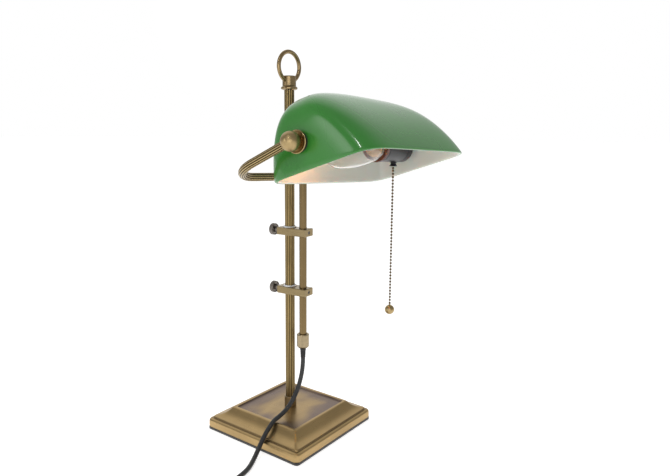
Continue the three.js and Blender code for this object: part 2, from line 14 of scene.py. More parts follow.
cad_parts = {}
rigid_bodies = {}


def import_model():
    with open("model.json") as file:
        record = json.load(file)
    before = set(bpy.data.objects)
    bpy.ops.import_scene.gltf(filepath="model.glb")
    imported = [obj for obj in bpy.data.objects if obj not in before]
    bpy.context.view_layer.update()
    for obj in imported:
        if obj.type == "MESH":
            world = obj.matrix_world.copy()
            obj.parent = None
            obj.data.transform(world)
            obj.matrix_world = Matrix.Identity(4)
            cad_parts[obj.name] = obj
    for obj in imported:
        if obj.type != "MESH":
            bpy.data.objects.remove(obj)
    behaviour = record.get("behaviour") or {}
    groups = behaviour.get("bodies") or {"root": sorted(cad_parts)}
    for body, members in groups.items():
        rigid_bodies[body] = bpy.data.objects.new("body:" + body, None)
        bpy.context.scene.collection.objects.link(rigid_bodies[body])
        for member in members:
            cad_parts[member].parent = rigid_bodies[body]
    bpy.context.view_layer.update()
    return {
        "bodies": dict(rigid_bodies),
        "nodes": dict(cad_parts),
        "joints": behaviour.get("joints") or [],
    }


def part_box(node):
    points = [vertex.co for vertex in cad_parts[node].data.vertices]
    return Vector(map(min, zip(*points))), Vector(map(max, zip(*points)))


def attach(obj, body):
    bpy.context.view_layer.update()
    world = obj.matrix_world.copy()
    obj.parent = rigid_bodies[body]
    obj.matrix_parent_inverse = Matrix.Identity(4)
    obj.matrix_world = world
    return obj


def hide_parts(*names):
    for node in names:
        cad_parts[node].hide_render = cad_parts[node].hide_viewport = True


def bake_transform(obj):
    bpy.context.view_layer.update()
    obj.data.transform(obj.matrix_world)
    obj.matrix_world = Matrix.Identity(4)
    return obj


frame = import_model()

scene = bpy.context.scene
scene.view_settings.view_transform = "Standard"

MM = 0.001
joints = {joint["name"]: joint for joint in frame["joints"]}


def shift(x=0.0, y=0.0, z=0.0):
    return Matrix.Translation((x, y, z))


def spin(angle, axis):
    return Matrix.Rotation(angle, 4, axis)


def span(node, axis=2):
    """Lowest and highest coordinate of a CAD node along an axis, in millimetres."""
    low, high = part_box(node)
    return low[axis] / MM, high[axis] / MM


# ---- where the frame puts things
HEAD_AXIS = Vector(joints["head_swing"]["pos_m"]) / MM
PIVOT = Vector(joints["shade_tilt"]["pos_m"]) / MM
PIVOT_WAY = Vector(joints["shade_tilt"]["axis"])
SCREW_WAY = Vector(joints["upper_thumbscrew_turn"]["axis"])
HEAD_TURN = math.atan2(PIVOT_WAY.y, PIVOT_WAY.x)
HEAD_DROOP = math.asin(-PIVOT_WAY.z)
CARRIAGE_TURN = math.atan2(-SCREW_WAY.x, SCREW_WAY.y)
SHADE_TILT = math.radians(-18.3)

QUARTER = math.pi / 2
HEAD = shift(HEAD_AXIS.x, HEAD_AXIS.y) @ spin(HEAD_TURN, "Z")
PIVOT_PLACE = shift(*PIVOT) @ spin(HEAD_TURN, "Z") @ spin(HEAD_DROOP, "Y")
SHADE_PLACE = PIVOT_PLACE @ spin(SHADE_TILT, "X")
ALONG_X = spin(QUARTER, "Y")  # turns a solid about Z into one about X


# ---- camera
def add_camera():
    """A camera that sees the foot, the pole, the clamps and the chain as the photo does."""
    yaw, pitch, roll = 0.6413, 0.1750, 0.0093
    spot = Vector((-604.67, -527.43, 410.04)) * MM
    data = bpy.data.cameras.new("camera")
    data.sensor_width = 36
    data.lens = 32.37
    data.clip_start = 0.02
    data.clip_end = 40
    camera = bpy.data.objects.new("camera", data)
    turn = spin(yaw - QUARTER, "Z") @ spin(QUARTER - pitch, "X") @ spin(roll, "Z")
    camera.matrix_world = shift(*spot) @ turn
    scene.collection.objects.link(camera)
    scene.camera = camera


add_camera()


# ---- materials
class Nodes:
    """Makes the nodes of a tree, each fed by values or by other nodes' outputs."""

    def __init__(self, tree):
        self.tree = tree

    def node(self, kind, *given, **facts):
        """A node. Facts in lower case are its settings, and the others its inputs."""
        made = self.tree.nodes.new("ShaderNode" + kind)
        for socket, value in zip(made.inputs, given):
            self.feed(socket, value)
        for name, value in facts.items():
            if name.islower():
                setattr(made, name, value)
            else:
                self.feed(made.inputs[name.replace("_", " ")], value)
        return made

    def feed(self, socket, value):
        if isinstance(value, bpy.types.NodeSocket):
            self.tree.links.new(value, socket)
        else:
            socket.default_value = (*value, 1.0) if socket.type == "RGBA" else value

    def ranged(self, value, low, high, to_low=0.0, to_high=1.0):
        ends = dict(From_Min=low, From_Max=high, To_Min=to_low, To_Max=to_high)
        return self.node("MapRange", Value=value, interpolation_type="SMOOTHSTEP", **ends).outputs["Result"]

    def math(self, operation, first, second=0.0):
        return self.node("Math", first, second, operation=operation).outputs[0]

    def plus(self, first, second):
        return self.math("ADD", first, second)

    def times(self, first, second):
        return self.math("MULTIPLY", first, second)


class Surface(Nodes):
    """A Principled material and the nodes that feed it."""

    def __init__(self, name, **sockets):
        self.material = bpy.data.materials.new(name)
        self.material.use_nodes = True
        super().__init__(self.material.node_tree)
        self.shader = self.tree.nodes["Principled BSDF"]
        self.place = self.node("TexCoord").outputs["Object"]
        for socket, value in sockets.items():
            self.shader.inputs[socket.replace("_", " ")].default_value = value

    def stretched(self, scale):
        return self.node("Mapping", Vector=self.place, Scale=scale).outputs["Vector"]

    def noise(self, scale, detail=3.0, roughness=0.55, vector=None, distortion=0.0):
        facts = dict(Scale=scale, Detail=detail, Roughness=roughness, Distortion=distortion)
        return self.node("TexNoise", Vector=vector or self.place, **facts).outputs["Fac"]

    def mixed(self, factor, first, second):
        made = self.node("Mix", factor, data_type="RGBA")
        self.feed(made.inputs[6], first)
        self.feed(made.inputs[7], second)
        return made.outputs[2]

    def color(self, value):
        self.feed(self.shader.inputs["Base Color"], value)

    def blotchy(self, value, first, second):
        self.color(self.mixed(self.ranged(value, 0.3, 0.7), first, second))

    def rough(self, value, low, high):
        self.feed(self.shader.inputs["Roughness"], self.ranged(value, 0.3, 0.7, low, high))

    def bump(self, height, distance, strength=1.0):
        made = self.node("Bump", Height=height, Distance=distance, Strength=strength)
        self.feed(self.shader.inputs["Normal"], made.outputs["Normal"])


def brass(name, light, dark, streaks, roughness, cloud=9.0, dark_share=0.5, groove_shade_tone=0.3):
    """Aged brass: clouds of patina, fine brush marks along the streaks, and painted shade with patina in the
    grooves.
    """
    made = Surface(name, Metallic=1.0)
    clouds = made.noise(cloud, 4.0, 0.6, distortion=0.4)
    brushed = made.noise(1.0, 4.0, 0.7, vector=made.stretched(streaks))
    tone = made.plus(made.times(clouds, 0.75), made.times(brushed, 0.35))
    patina = made.ranged(tone, 0.35, 0.75, 0.0, dark_share)
    # The grooves get a darker tone: painted shade in the hollows, with patina.
    groove = made.node("Attribute", attribute_name="groove").outputs["Fac"]
    aged = made.mixed(patina, light, dark)
    made.color(made.mixed(groove, aged, [groove_shade_tone * part for part in dark]))
    made.rough(brushed, roughness - 0.05, roughness + 0.09)
    made.bump(brushed, 0.00003, 0.5)
    return made


def base_brass():
    """The base's brass. Its brush marks run along each side; the low panel is clouded, with painted shade
    towards its edges.
    """
    made = Surface("base_brass", Metallic=1.0)
    facing = made.node("NewGeometry").outputs["Normal"]
    parts = made.node("SeparateXYZ", Vector=facing).outputs
    along_y = made.math("GREATER_THAN", made.math("ABSOLUTE", parts["X"]), made.math("ABSOLUTE", parts["Y"]))
    on_x = made.noise(1.0, 4.0, 0.7, vector=made.stretched((24, 900, 900)))
    on_y = made.noise(1.0, 4.0, 0.7, vector=made.stretched((900, 24, 900)))
    pick = made.node("Mix", along_y)
    made.feed(pick.inputs[2], on_x)
    made.feed(pick.inputs[3], on_y)
    brushed = pick.outputs[0]

    spot = made.node("SeparateXYZ", Vector=made.place).outputs
    across = made.math("MAXIMUM", made.math("ABSOLUTE", spot["X"]), made.math("ABSOLUTE", spot["Y"]))
    on_panel = made.math("LESS_THAN", across, 0.0528)
    # The panel darkens towards its edges and its far right corner: painted shade.
    towards_edge = made.ranged(across, 0.026, 0.053)
    clouds = made.noise(1.0, 3.0, 0.5, vector=made.stretched((11, 24, 24)), distortion=0.3)
    far_right = made.ranged(made.math("SUBTRACT", spot["X"], spot["Y"]), 0.01, 0.09)
    panel_shade_darkening = made.plus(made.times(towards_edge, 0.3), made.times(far_right, 0.16))
    clouds_and_shade = made.plus(clouds, panel_shade_darkening)
    panel_patina_and_shade = made.times(on_panel, made.ranged(clouds_and_shade, 0.42, 0.9, 0.12, 1.0))
    # Darker in the groove round the foot: painted shade, with patina.
    groove = made.times(made.ranged(across, 0.0760, 0.0766), made.ranged(spot["Z"], 0.0182, 0.0172))
    groove = made.times(groove, made.ranged(across, 0.0788, 0.0776))
    wear = made.ranged(made.plus(clouds, made.times(brushed, 0.3)), 0.45, 0.95, 0.0, 0.5)
    warm = made.mixed(wear, (0.45, 0.315, 0.145), (0.29, 0.2, 0.095))
    violet = made.mixed(made.noise(60, 3.0), (0.165, 0.125, 0.12), (0.24, 0.175, 0.12))
    shown = made.mixed(panel_patina_and_shade, warm, violet)
    made.color(made.mixed(made.times(groove, 0.6), shown, (0.12, 0.09, 0.055)))
    made.rough(brushed, 0.27, 0.4)
    made.bump(brushed, 0.00003, 0.5)
    return made


def plain(name, color, other, roughness, scale, grain=0.00003, metallic=0.0, ior=1.5):
    """A moulded or plated surface: slight colour change and a fine grain."""
    made = Surface(name, Metallic=metallic, IOR=ior)
    fine = made.noise(scale, 4.0, 0.6)
    broad = made.noise(scale / 12, 2.0)
    made.blotchy(broad, color, other)
    made.rough(fine, roughness - 0.04, roughness + 0.06)
    made.bump(fine, grain, 0.5)
    return made


def shade_green():
    """Green outer layer of the cased glass: deep, glossy, a touch uneven as blown glass is."""
    made = Surface("shade_green", IOR=1.4, Coat_Weight=0.6, Coat_Roughness=0.02, Coat_IOR=1.5)
    broad = made.noise(7, 2.0)
    made.blotchy(broad, (0.026, 0.185, 0.021), (0.036, 0.23, 0.029))
    made.rough(broad, 0.24, 0.32)
    made.bump(made.noise(16, 1.0, 0.3), 0.0003, 0.12)
    return made


def shade_opal():
    """White opal layer inside."""
    made = Surface("shade_opal", IOR=1.5, Subsurface_Weight=0.25, Subsurface_Scale=0.004)
    broad = made.noise(11, 2.0)
    made.blotchy(broad, (0.62, 0.64, 0.58), (0.67, 0.68, 0.62))
    made.rough(made.noise(40), 0.12, 0.2)
    made.bump(made.noise(30, 2.0, 0.4), 0.0003, 0.2)
    return made


def clear_glass(name, ior):
    made = Surface(name, IOR=ior, Transmission_Weight=1.0)
    made.color(made.mixed(made.noise(60), (1.0, 0.98, 0.95), (0.98, 0.96, 0.92)))
    made.rough(made.noise(80), 0.0, 0.02)
    return made


def glowing_wire():
    made = Surface("glowing_wire", Emission_Strength=14.0)
    glow = made.mixed(made.noise(900), (1.0, 0.36, 0.08), (1.0, 0.48, 0.14))
    made.feed(made.shader.inputs["Emission Color"], glow)
    made.color((0.9, 0.5, 0.2))
    return made


def felt():
    """Short matted fibres."""
    made = Surface("felt", Sheen_Weight=0.4, Sheen_Roughness=0.6)
    fibres = made.noise(1400, 5.0, 0.75, distortion=1.5)
    made.color(made.mixed(fibres, (0.008, 0.008, 0.008), (0.03, 0.028, 0.026)))
    made.rough(fibres, 0.85, 1.0)
    made.bump(fibres, 0.0004, 1.0)
    return made


# light, dark, brush marks, roughness, clouds, share of dark, tone of the painted shade and patina in the
# grooves
BRASSES = {
    "antique_brass": ((0.44, 0.32, 0.15), (0.17, 0.12, 0.065), (420, 420, 22), 0.3),
    "pole_brass": ((0.46, 0.33, 0.14), (0.15, 0.105, 0.05), (420, 420, 22), 0.3, 9.0, 0.5, 0.2),
    "yoke_brass": ((0.56, 0.42, 0.2), (0.26, 0.19, 0.095), (200, 200, 200), 0.26, 9.0, 0.5, 0.12),
    "satin_brass": ((0.46, 0.34, 0.165), (0.22, 0.16, 0.08), (90, 90, 90), 0.36, 14.0),
    "tube_brass": ((0.2, 0.14, 0.065), (0.1, 0.07, 0.036), (420, 420, 22), 0.2, 9.0, 0.4),
    "clamp_brass": ((0.29, 0.22, 0.115), (0.15, 0.115, 0.06), (900, 24, 900), 0.25, 30.0, 0.35),
    "chain_brass": ((0.15, 0.105, 0.05), (0.07, 0.048, 0.025), (300, 300, 300), 0.34),
    "soft_brass": ((0.38, 0.305, 0.19), (0.24, 0.185, 0.115), (160, 160, 400), 0.3, 40.0, 0.4),
    "dark_bronze": ((0.34, 0.245, 0.125), (0.13, 0.092, 0.055), (110, 110, 60), 0.3, 24.0, 0.6),
    "pewter": ((0.25, 0.225, 0.2), (0.11, 0.095, 0.085), (300, 300, 300), 0.34, 60.0, 0.8),
}
# colour, other colour, roughness, grain, its depth, metallic, IOR
PLAINS = {
    "steel": ((0.58, 0.58, 0.56), (0.48, 0.48, 0.47), 0.3, 500, 0.00003, 1.0),
    "cast_iron": ((0.09, 0.09, 0.09), (0.14, 0.13, 0.12), 0.7, 180, 0.0004, 0.7),
    "black_plastic": ((0.012, 0.012, 0.014), (0.02, 0.02, 0.022), 0.32, 400, 0.00003, 0.0, 1.36),
    "brown_plastic": ((0.075, 0.02, 0.01), (0.12, 0.036, 0.016), 0.2, 400),
    "nylon": ((0.76, 0.77, 0.78), (0.7, 0.71, 0.73), 0.4, 300),
    "rubber": ((0.015, 0.015, 0.015), (0.026, 0.026, 0.026), 0.6, 500),
    "cord_jacket": ((0.018, 0.019, 0.02), (0.028, 0.029, 0.03), 0.42, 700, 0.00005),
    "porcelain": ((0.82, 0.8, 0.75), (0.77, 0.75, 0.7), 0.18, 90),
}
SURFACES = {name: brass(name, *facts) for name, facts in BRASSES.items()}
SURFACES |= {name: plain(name, *facts) for name, facts in PLAINS.items()}
SURFACES |= {
    "base_brass": base_brass(),
    "felt": felt(),
    "shade_green": shade_green(),
    "shade_opal": shade_opal(),
    "clear_glass": clear_glass("clear_glass", 1.46),
    "bulb_glass": clear_glass("bulb_glass", 1.2),
    "glowing_wire": glowing_wire(),
}

# The material slot of a surface, where it isn't the surface's own name.
SLOTS = {f"{kind}_brass": "antique_brass" for kind in ("base", "pole", "yoke", "satin", "tube", "clamp")}
SLOTS |= {"chain_brass": "soft_brass", "glowing_wire": "soft_brass"}
SLOTS |= {"bulb_glass": "clear_glass", "pewter": "steel"}


# ---- outlines
def rounded(points, radius, steps=4, closed=True):
    """The outline with its corners rounded, and a point on each side of every arc.

    The side points keep the shading of long flats and cylinders level.
    """
    points = [Vector(p[:2]) for p in points]
    count = len(points)
    made = []
    for i, corner in enumerate(points):
        ways = (points[i - 1] - corner, points[(i + 1) % count] - corner)
        angle = ways[0].angle(ways[1])
        if angle > math.radians(176) or (not closed and i in (0, count - 1)):
            made.append(corner)
            continue
        reach = min(radius / math.tan(angle / 2), 0.42 * min(way.length for way in ways))
        first, last = (corner + way.normalized() * reach for way in ways)
        before, after = (corner + way.normalized() * min(reach * 1.5, 0.48 * way.length) for way in ways)
        made.append(before)
        for k in range(steps + 1):
            t = k / steps
            made.append(first * (1 - t) ** 2 + corner * 2 * t * (1 - t) + last * t * t)
        made.append(after)
    return made


def around(count):
    """Even steps round a circle."""
    return np.arange(count) * 2 * math.pi / count


def circle(radius, count):
    turn = around(count)
    return np.stack([radius * np.cos(turn), radius * np.sin(turn)], 1)


def squircle(power, count):
    """Unit x and y round a superellipse: round at power 2, squarer above."""
    c, s = np.cos(around(count)), np.sin(around(count))
    reach = (np.abs(c) ** power + np.abs(s) ** power) ** (-1 / power)
    return reach * c, reach * s


def polar(radii):
    """An outline from its radius at even steps round the middle."""
    return circle(1, len(radii)) * radii[:, None]


def hexagon(flat, count):
    """Radii of a hexagon, from the distance to its flats."""
    return flat / np.cos((around(count) + math.pi / 6) % (math.pi / 3) - math.pi / 6)


PER_REED = 12  # points round a reed or flute


def reeded(radius, reeds, depth):
    """A round outline with rounded reeds standing out of it."""
    return polar(radius - depth * (1 - np.abs(np.cos(around(reeds * PER_REED) * reeds / 2))))


def mark_grooves(obj, reeds):
    """Stores how deep in a groove each point of a reeded sweep lies, for the painted shade and patina there.
    """
    turn = np.arange(reeds * PER_REED) * math.pi / PER_REED
    fall = np.clip((1 - np.abs(np.cos(turn))) * 1.7, 0, 1)
    marks = obj.data.attributes.new("groove", "FLOAT", "POINT")
    marks.data.foreach_set("value", np.resize(fall, len(obj.data.vertices)).astype(np.float32))


def square_ring(half, z, corner, steps=10):
    """One level of a square loft, with a point beside each corner's arc."""
    corner = max(corner, 0.2)
    beside = min(1.2 * corner, 0.6 * (half - corner)) if half > corner else 0.0
    first = [(corner, -beside)]
    first += [(corner * math.cos(a), corner * math.sin(a)) for a in np.linspace(0, QUARTER, steps + 1)]
    first += [(-beside, corner)]
    middle = half - corner
    ring = []
    for c, s in ((1, 0), (0, 1), (-1, 0), (0, -1)):
        for x, y in first:
            x, y = middle + x, middle + y
            ring.append((c * x - s * y, s * x + c * y, z))
    return ring


# ---- solids
def loft(rings, closed=False):
    """Rings of points joined in order. An open loft gets a flat face on each end."""
    count = len(rings[0])
    points = [tuple(p) for ring in rings for p in ring]
    faces = []
    for r in range(len(rings) if closed else len(rings) - 1):
        here = r * count
        there = ((r + 1) % len(rings)) * count
        for i in range(count):
            j = (i + 1) % count
            faces.append((here + i, here + j, there + j, there + i))
    if not closed:
        faces.append(tuple(range(count - 1, -1, -1)))
        faces.append(tuple(range((len(rings) - 1) * count, len(rings) * count)))
    return points, faces


def stacked(levels, closed=False):
    """A loft of flat outlines, each at its own height."""
    return loft([[(x, y, z) for x, y in outline] for outline, z in levels], closed)


def turned(profile, sides=72):
    """A solid of revolution about Z, from axis to axis or round a closed profile of (radius, z)."""
    points = []
    rings = []
    for radius, z in profile:
        if abs(radius) < 1e-6:
            rings.append([len(points)] * sides)
            points.append((0.0, 0.0, z))
        else:
            rings.append(list(range(len(points), len(points) + sides)))
            points += [(x, y, z) for x, y in circle(radius, sides)]
    on_axis = abs(profile[0][0]) < 1e-6
    faces = []
    for r in range(len(rings) - (1 if on_axis else 0)):
        low, high = rings[r], rings[(r + 1) % len(rings)]
        for i in range(sides):
            j = (i + 1) % sides
            corners = dict.fromkeys((low[i], low[j], high[j], high[i]))
            if len(corners) > 2:
                faces.append(tuple(corners))
    return points, faces


def rod(radius, low, high, sides=72):
    return turned([(0, low), (radius, low), (radius, high), (0, high)], sides)


def lathed(profile, radius, sides=72, steps=4):
    """Turned from an outline whose corners are rounded."""
    on_axis = abs(profile[0][0]) < 1e-6
    return turned([tuple(p) for p in rounded(profile, radius, steps, not on_axis)], sides)


def sleeve(inner, outer, low, high, edge=0.3, sides=72):
    return lathed([(inner, low), (outer, low), (outer, high), (inner, high)], edge, sides, 3)


def hex_nut(bore, corner, low, high, edge=0.9, sink=0.6):
    """A chamfered hexagon nut about Z, with a countersunk bore."""
    sides = 96
    flat = corner * math.cos(math.pi / 6)
    outside = ((low, flat - 0.2), (low + edge, corner), (high - edge, corner), (high, flat - 0.2))
    inside = ((high, bore + sink), (high - sink, bore), (low + sink, bore), (low, bore + sink))
    levels = [(polar(np.minimum(hexagon(flat, sides), limit)), z) for z, limit in outside]
    levels += [(circle(radius, sides), z) for z, radius in inside]
    return stacked(levels, closed=True)


def swept(line, section):
    """A section of (u, v) points carried along a line without twisting."""
    line = np.array(line, float)
    way = np.gradient(line, axis=0)
    way /= np.linalg.norm(way, axis=1)[:, None]
    side = np.cross(way[0], (0, 0, 1) if abs(way[0][2]) < 0.9 else (0, 1, 0))
    side /= np.linalg.norm(side)
    rings = []
    for point, ahead in zip(line, way):
        side = side - ahead * (side @ ahead)
        side /= np.linalg.norm(side)
        other = np.cross(ahead, side)
        rings.append(point + section[:, :1] * side + section[:, 1:] * other)
    return loft(rings)


def between(first, last, start, end, t):
    """The point at t on a line that is at first when t is start, and at last when t is end."""
    return ((end - t) * first + (t - start) * last) / (end - start)


def smooth_line(points, step):
    """A centripetal Catmull-Rom curve through points, with points about step apart."""
    points = np.array(points, float)
    points = np.concatenate([[2 * points[0] - points[1]], points, [2 * points[-1] - points[-2]]])
    made = []
    for k in range(1, len(points) - 2):
        p0, p1, p2, p3 = points[k - 1 : k + 3]
        t1 = np.linalg.norm(p1 - p0) ** 0.5
        t2 = t1 + np.linalg.norm(p2 - p1) ** 0.5
        t3 = t2 + np.linalg.norm(p3 - p2) ** 0.5
        count = max(2, round(np.linalg.norm(p2 - p1) / step))
        for t in np.linspace(t1, t2, count, endpoint=False):
            a1 = between(p0, p1, 0, t1, t)
            a2 = between(p1, p2, t1, t2, t)
            a3 = between(p2, p3, t2, t3, t)
            b1 = between(a1, a2, 0, t2, t)
            b2 = between(a2, a3, t1, t3, t)
            made.append(between(b1, b2, t1, t2, t))
    made.append(points[-2])
    return np.array(made)


def merged(*solids):
    """Several separate solids as one."""
    points, faces = [], []
    for more_points, more_faces in solids:
        start = len(points)
        points += [tuple(p) for p in more_points]
        faces += [tuple(start + i for i in face) for face in more_faces]
    return points, faces


# ---- pieces
def shape_object(name, solid, place=Matrix.Identity(4)):
    """An object in metres from a solid in millimetres, with its faces turned out."""
    points, faces = solid
    mesh = bpy.data.meshes.new(name)
    mesh.from_pydata([tuple((place @ Vector(p)) * MM) for p in points], [], faces)
    work = bmesh.new()
    work.from_mesh(mesh)
    bmesh.ops.recalc_face_normals(work, faces=work.faces)
    work.to_mesh(mesh)
    work.free()
    made = bpy.data.objects.new(name, mesh)
    scene.collection.objects.link(made)
    return made


def settle(obj):
    """Applies the modifiers of obj."""
    graph = bpy.context.evaluated_depsgraph_get()
    mesh = bpy.data.meshes.new_from_object(obj.evaluated_get(graph))
    obj.modifiers.clear()
    old = obj.data
    obj.data = mesh
    mesh.name = old.name + "_settled"
    bpy.data.meshes.remove(old)


def carve(obj, cutters, operation="DIFFERENCE"):
    """Cuts the solids from obj, or joins them to it."""
    tools = [shape_object(f"{obj.name}_tool_{i}", solid, place) for i, (solid, place) in enumerate(cutters)]
    for tool in tools:
        change = obj.modifiers.new("carve", "BOOLEAN")
        change.operation = operation
        change.solver = "EXACT"
        change.object = tool
    settle(obj)
    for tool in tools:
        bpy.data.objects.remove(tool)


def crisp(obj, degrees=32):
    """Smooth shading, with edges sharper than this left sharp."""
    work = bmesh.new()
    work.from_mesh(obj.data)
    for face in work.faces:
        face.smooth = True
    limit = math.radians(degrees)
    for edge in work.edges:
        edge.smooth = len(edge.link_faces) == 2 and edge.calc_face_angle() < limit
    work.to_mesh(obj.data)
    work.free()


def chamfer(obj, width):
    bevel = obj.modifiers.new("chamfer", "BEVEL")
    bevel.width = width * MM
    bevel.segments = 1
    bevel.limit_method = "ANGLE"
    bevel.angle_limit = math.radians(50)
    settle(obj)


def dress(obj, surface):
    obj.data.materials.clear()
    obj.data.materials.append(SURFACES[surface].material)


def settled_piece(obj, surface, body, *nodes, slot=None, degrees=32):
    """Gives obj its surface, and says what it rides on and which CAD nodes it replaces."""
    crisp(obj, degrees)
    dress(obj, surface)
    if nodes:
        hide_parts(*nodes)
    if body:
        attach(obj, body)
    return obj


def piece(name, solid, surface, body, *nodes, place=Matrix.Identity(4), **facts):
    return settled_piece(shape_object(name, solid, place), surface, body, *nodes, **facts)


def keep(node, surface):
    """A CAD node that stays as it is, with a finer surface."""
    dress(frame["nodes"][node], surface)


# ---- cord, coil and plug
CORD_R = 3.0
CORD_Z = 3.1  # middle of the cord where it lies on the table
COIL_CENTRE = Vector((-192, -96))
COIL_WIDE = 45.2  # to the middle of the cord, at the outermost turn
COIL_NARROW = 26.9
COIL_LIFT = 0.8  # the tie's strap passes under the coil
PLUG_PLACE = shift(-239, -170, 6.9) @ spin(-QUARTER, "Z")
PLUG_REAR = 30
CORD_EXIT = Vector((HEAD_AXIS.x, HEAD_AXIS.y, 103.7))

LEAD = [
    tuple(CORD_EXIT), (1.4, -21.6, 94), (-0.8, -21.6, 82), (-5, -21.5, 70), (-11.4, -21.4, 58.5),
    (-20.4, -21.3, 48.4), (-32.4, -21.2, 40), (-45.6, -21.1, 35.6), (-57.2, -21.4, 33.4),
    (-67, -22.1, 28.4), (-75.6, -23.1, 23), (-84.2, -24.7, 17), (-92.4, -26.9, 11.4),
    (-101.4, -30, 6.8), (-111.6, -34.2, 4), (-123, -39.2, CORD_Z), (-135.6, -42.8, CORD_Z),
    (-149.4, -44.6, CORD_Z), (-162, -45.3, CORD_Z), (-174, -46.4, CORD_Z), (-187, -48.6, CORD_Z),
]  # from the gland down to the coil
TAIL = [(-238.2, -108, 9.2), (-238.6, -119, 8.2), (-239, -128, 7.1), (-239, -139.7, 6.9)]


def coil_turns():
    """Three turns in on the lower layer, a climb at the middle and three turns out on top."""
    pitch = (COIL_WIDE - COIL_NARROW) / 3
    start, inmost, above, finish = 100, 1180, 1250, 2340  # degrees round the coil
    points = []
    for angle in [*range(start, finish, 15), finish]:
        turns_in = (min(angle, inmost) - start - max(angle - above, 0)) / 360
        climb = min(max((angle - inmost) / (above - inmost), 0), 1)
        height = CORD_Z + COIL_LIFT * min(1, (angle - start) / 60)
        height += 2 * CORD_R * climb * climb * (3 - 2 * climb)
        turn = math.radians(angle)
        spot = COIL_CENTRE + (COIL_WIDE - pitch * turns_in) * Vector((math.cos(turn), math.sin(turn)))
        points.append((spot.x, spot.y, height))
    return points


def add_cord():
    path = smooth_line(LEAD + coil_turns() + TAIL, 2.0)
    grip = piece("cord_grip_moulding", strain_relief(), "rubber", "head", "cord_grip", place=HEAD)
    tie = piece("coil_tie", coil_tie(), "rubber", "base")
    plug = piece("mains_plug", plug_body(), "black_plastic", "base", "plug_body", place=PLUG_PLACE)
    for side, offset in (("left", 9.5), ("right", -9.5)):
        place = PLUG_PLACE @ shift(y=offset) @ ALONG_X
        piece(f"{side}_plug_pin", plug_pin(), "steel", "base", f"plug_{side}_pin", place=place)
    jacket = swept(path, circle(CORD_R, 18))
    cord = piece("mains_cord", jacket, "cord_jacket", None, "cord", "cord_tail", "cord_coil")
    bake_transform(cord)


def strain_relief():
    """A tapered sleeve with shallow rings, round the cord under the gland."""
    low, high = span("cord_grip")
    outline = [(0, low), (3.35, low)]
    rings = 5
    for i in range(rings):
        z = low + 1.2 + 1.9 * i
        radius = 3.4 + 0.1 * i
        outline += [(radius, z), (radius - 0.35, z + 0.35), (radius - 0.35, z + 0.85), (radius, z + 1.2)]
    outline += [(4.0, low + 11), (4.0, high), (0, high)]
    return lathed(outline, 0.15, 48, 2)


def coil_tie():
    """A narrow strap wound once round the coil's turns, at the side that faces the base."""
    turn = math.radians(-40)
    way = Vector((math.cos(turn), math.sin(turn), 0))
    across = Vector((-way.y, way.x, 0))
    middle = COIL_CENTRE.to_3d()
    low, high = 0.05, CORD_Z + COIL_LIFT + 3 * CORD_R + 0.1
    near, far = COIL_NARROW - CORD_R - 0.6, COIL_WIDE + CORD_R + 0.4
    thick = 0.7
    half_width = 4

    def loop(left, right, bottom, top, corner):
        return rounded([(left, bottom), (right, bottom), (right, top), (left, top)], corner, 6)

    def level(outline, offset):
        return [tuple(middle + way * p.x + Vector((0, 0, p.y)) + across * offset) for p in outline]

    outer = loop(near - thick, far + thick, low, high + thick, 3.0)
    inner = loop(near, far, low + thick, high, 2.4)
    sides = ((outer, -half_width), (outer, half_width), (inner, half_width), (inner, -half_width))
    return loft([level(outline, offset) for outline, offset in sides], closed=True)


def plug_body():
    """A flat two-pin plug: a wide head that narrows to a ribbed rear, along X."""
    stations = [  # x, half width, half height, squareness
        (-PLUG_REAR, 3.5, 3.5, 2.0), (-29.3, 4.3, 4.3, 2.0), (-18, 5.4, 5.2, 2.2), (-11, 8.4, 6.0, 2.6),
        (-4, 13.0, 6.6, 3.2), (2, 16.4, 6.8, 3.8), (7, 17.4, 6.8, 4.2), (12, 17.5, 6.8, 4.4),
        (16.8, 17.4, 6.7, 4.4), (17.7, 17.0, 6.3, 4.4), (18, 16.3, 5.6, 4.4),
    ]
    ribs_from, ribs_to, rib_pitch = -28.5, -17, 2.3
    rings = []
    for x, wide, high, power in smooth_line(stations, 0.8):
        if ribs_from < x < ribs_to:
            shrink = 1 - 0.09 * (0.5 + 0.5 * math.cos(2 * math.pi * (x - ribs_from) / rib_pitch))
            wide, high = wide * shrink, high * shrink
        rings.append([(x, wide * a, high * b) for a, b in zip(*squircle(power, 64))])
    return loft(rings)


def plug_pin():
    profile = [(0, 18.3), (2, 18.3), (2, 28), (1.8, 28.2), (1.8, 36.2), (1.1, 37), (0, 37)]
    return lathed(profile, 0.3, 32, 3)


add_cord()


# ---- base
def base_casting():
    """A hollow square foot: flat side, groove, hollow slope, raised border and low panel."""
    under = span("base_shell")[0] + 0.6
    start, end, sag = Vector((58.0, 28.9)), Vector((76.2, 17.9)), 2.3
    along = end - start
    below = Vector((along.y, -along.x)).normalized()
    slope = [start + along * t + below * 4 * sag * t * (1 - t) for t in np.linspace(0, 1, 15)]
    crown = [(5.2, 26.3), (5.2, 28), (52, 28), (52.9, 30), (56.2, 30), (57.4, 29.4)]
    side = [(76.8, 17.2), (76.8, 15.3), (78.7, 15.3), (80.7, 14.6), (81.7, 13.1), (82, 11), (82, 4.8)]
    inside = [(79.6, under), (79.6, 11.8), (75, 13.2), (69, 16.2), (58, 23.6), (52, 26.3)]
    rings = []
    for half, z in rounded([*crown, *slope, *side, (81.4, under), *inside], 0.9):
        corner = float(np.interp(half, (5.2, 20, 52, 57, 76, 82), (5.2, 3, 2, 3, 4.2, 6.5)))
        rings.append(square_ring(half, z, corner))
    return loft(rings, closed=True)


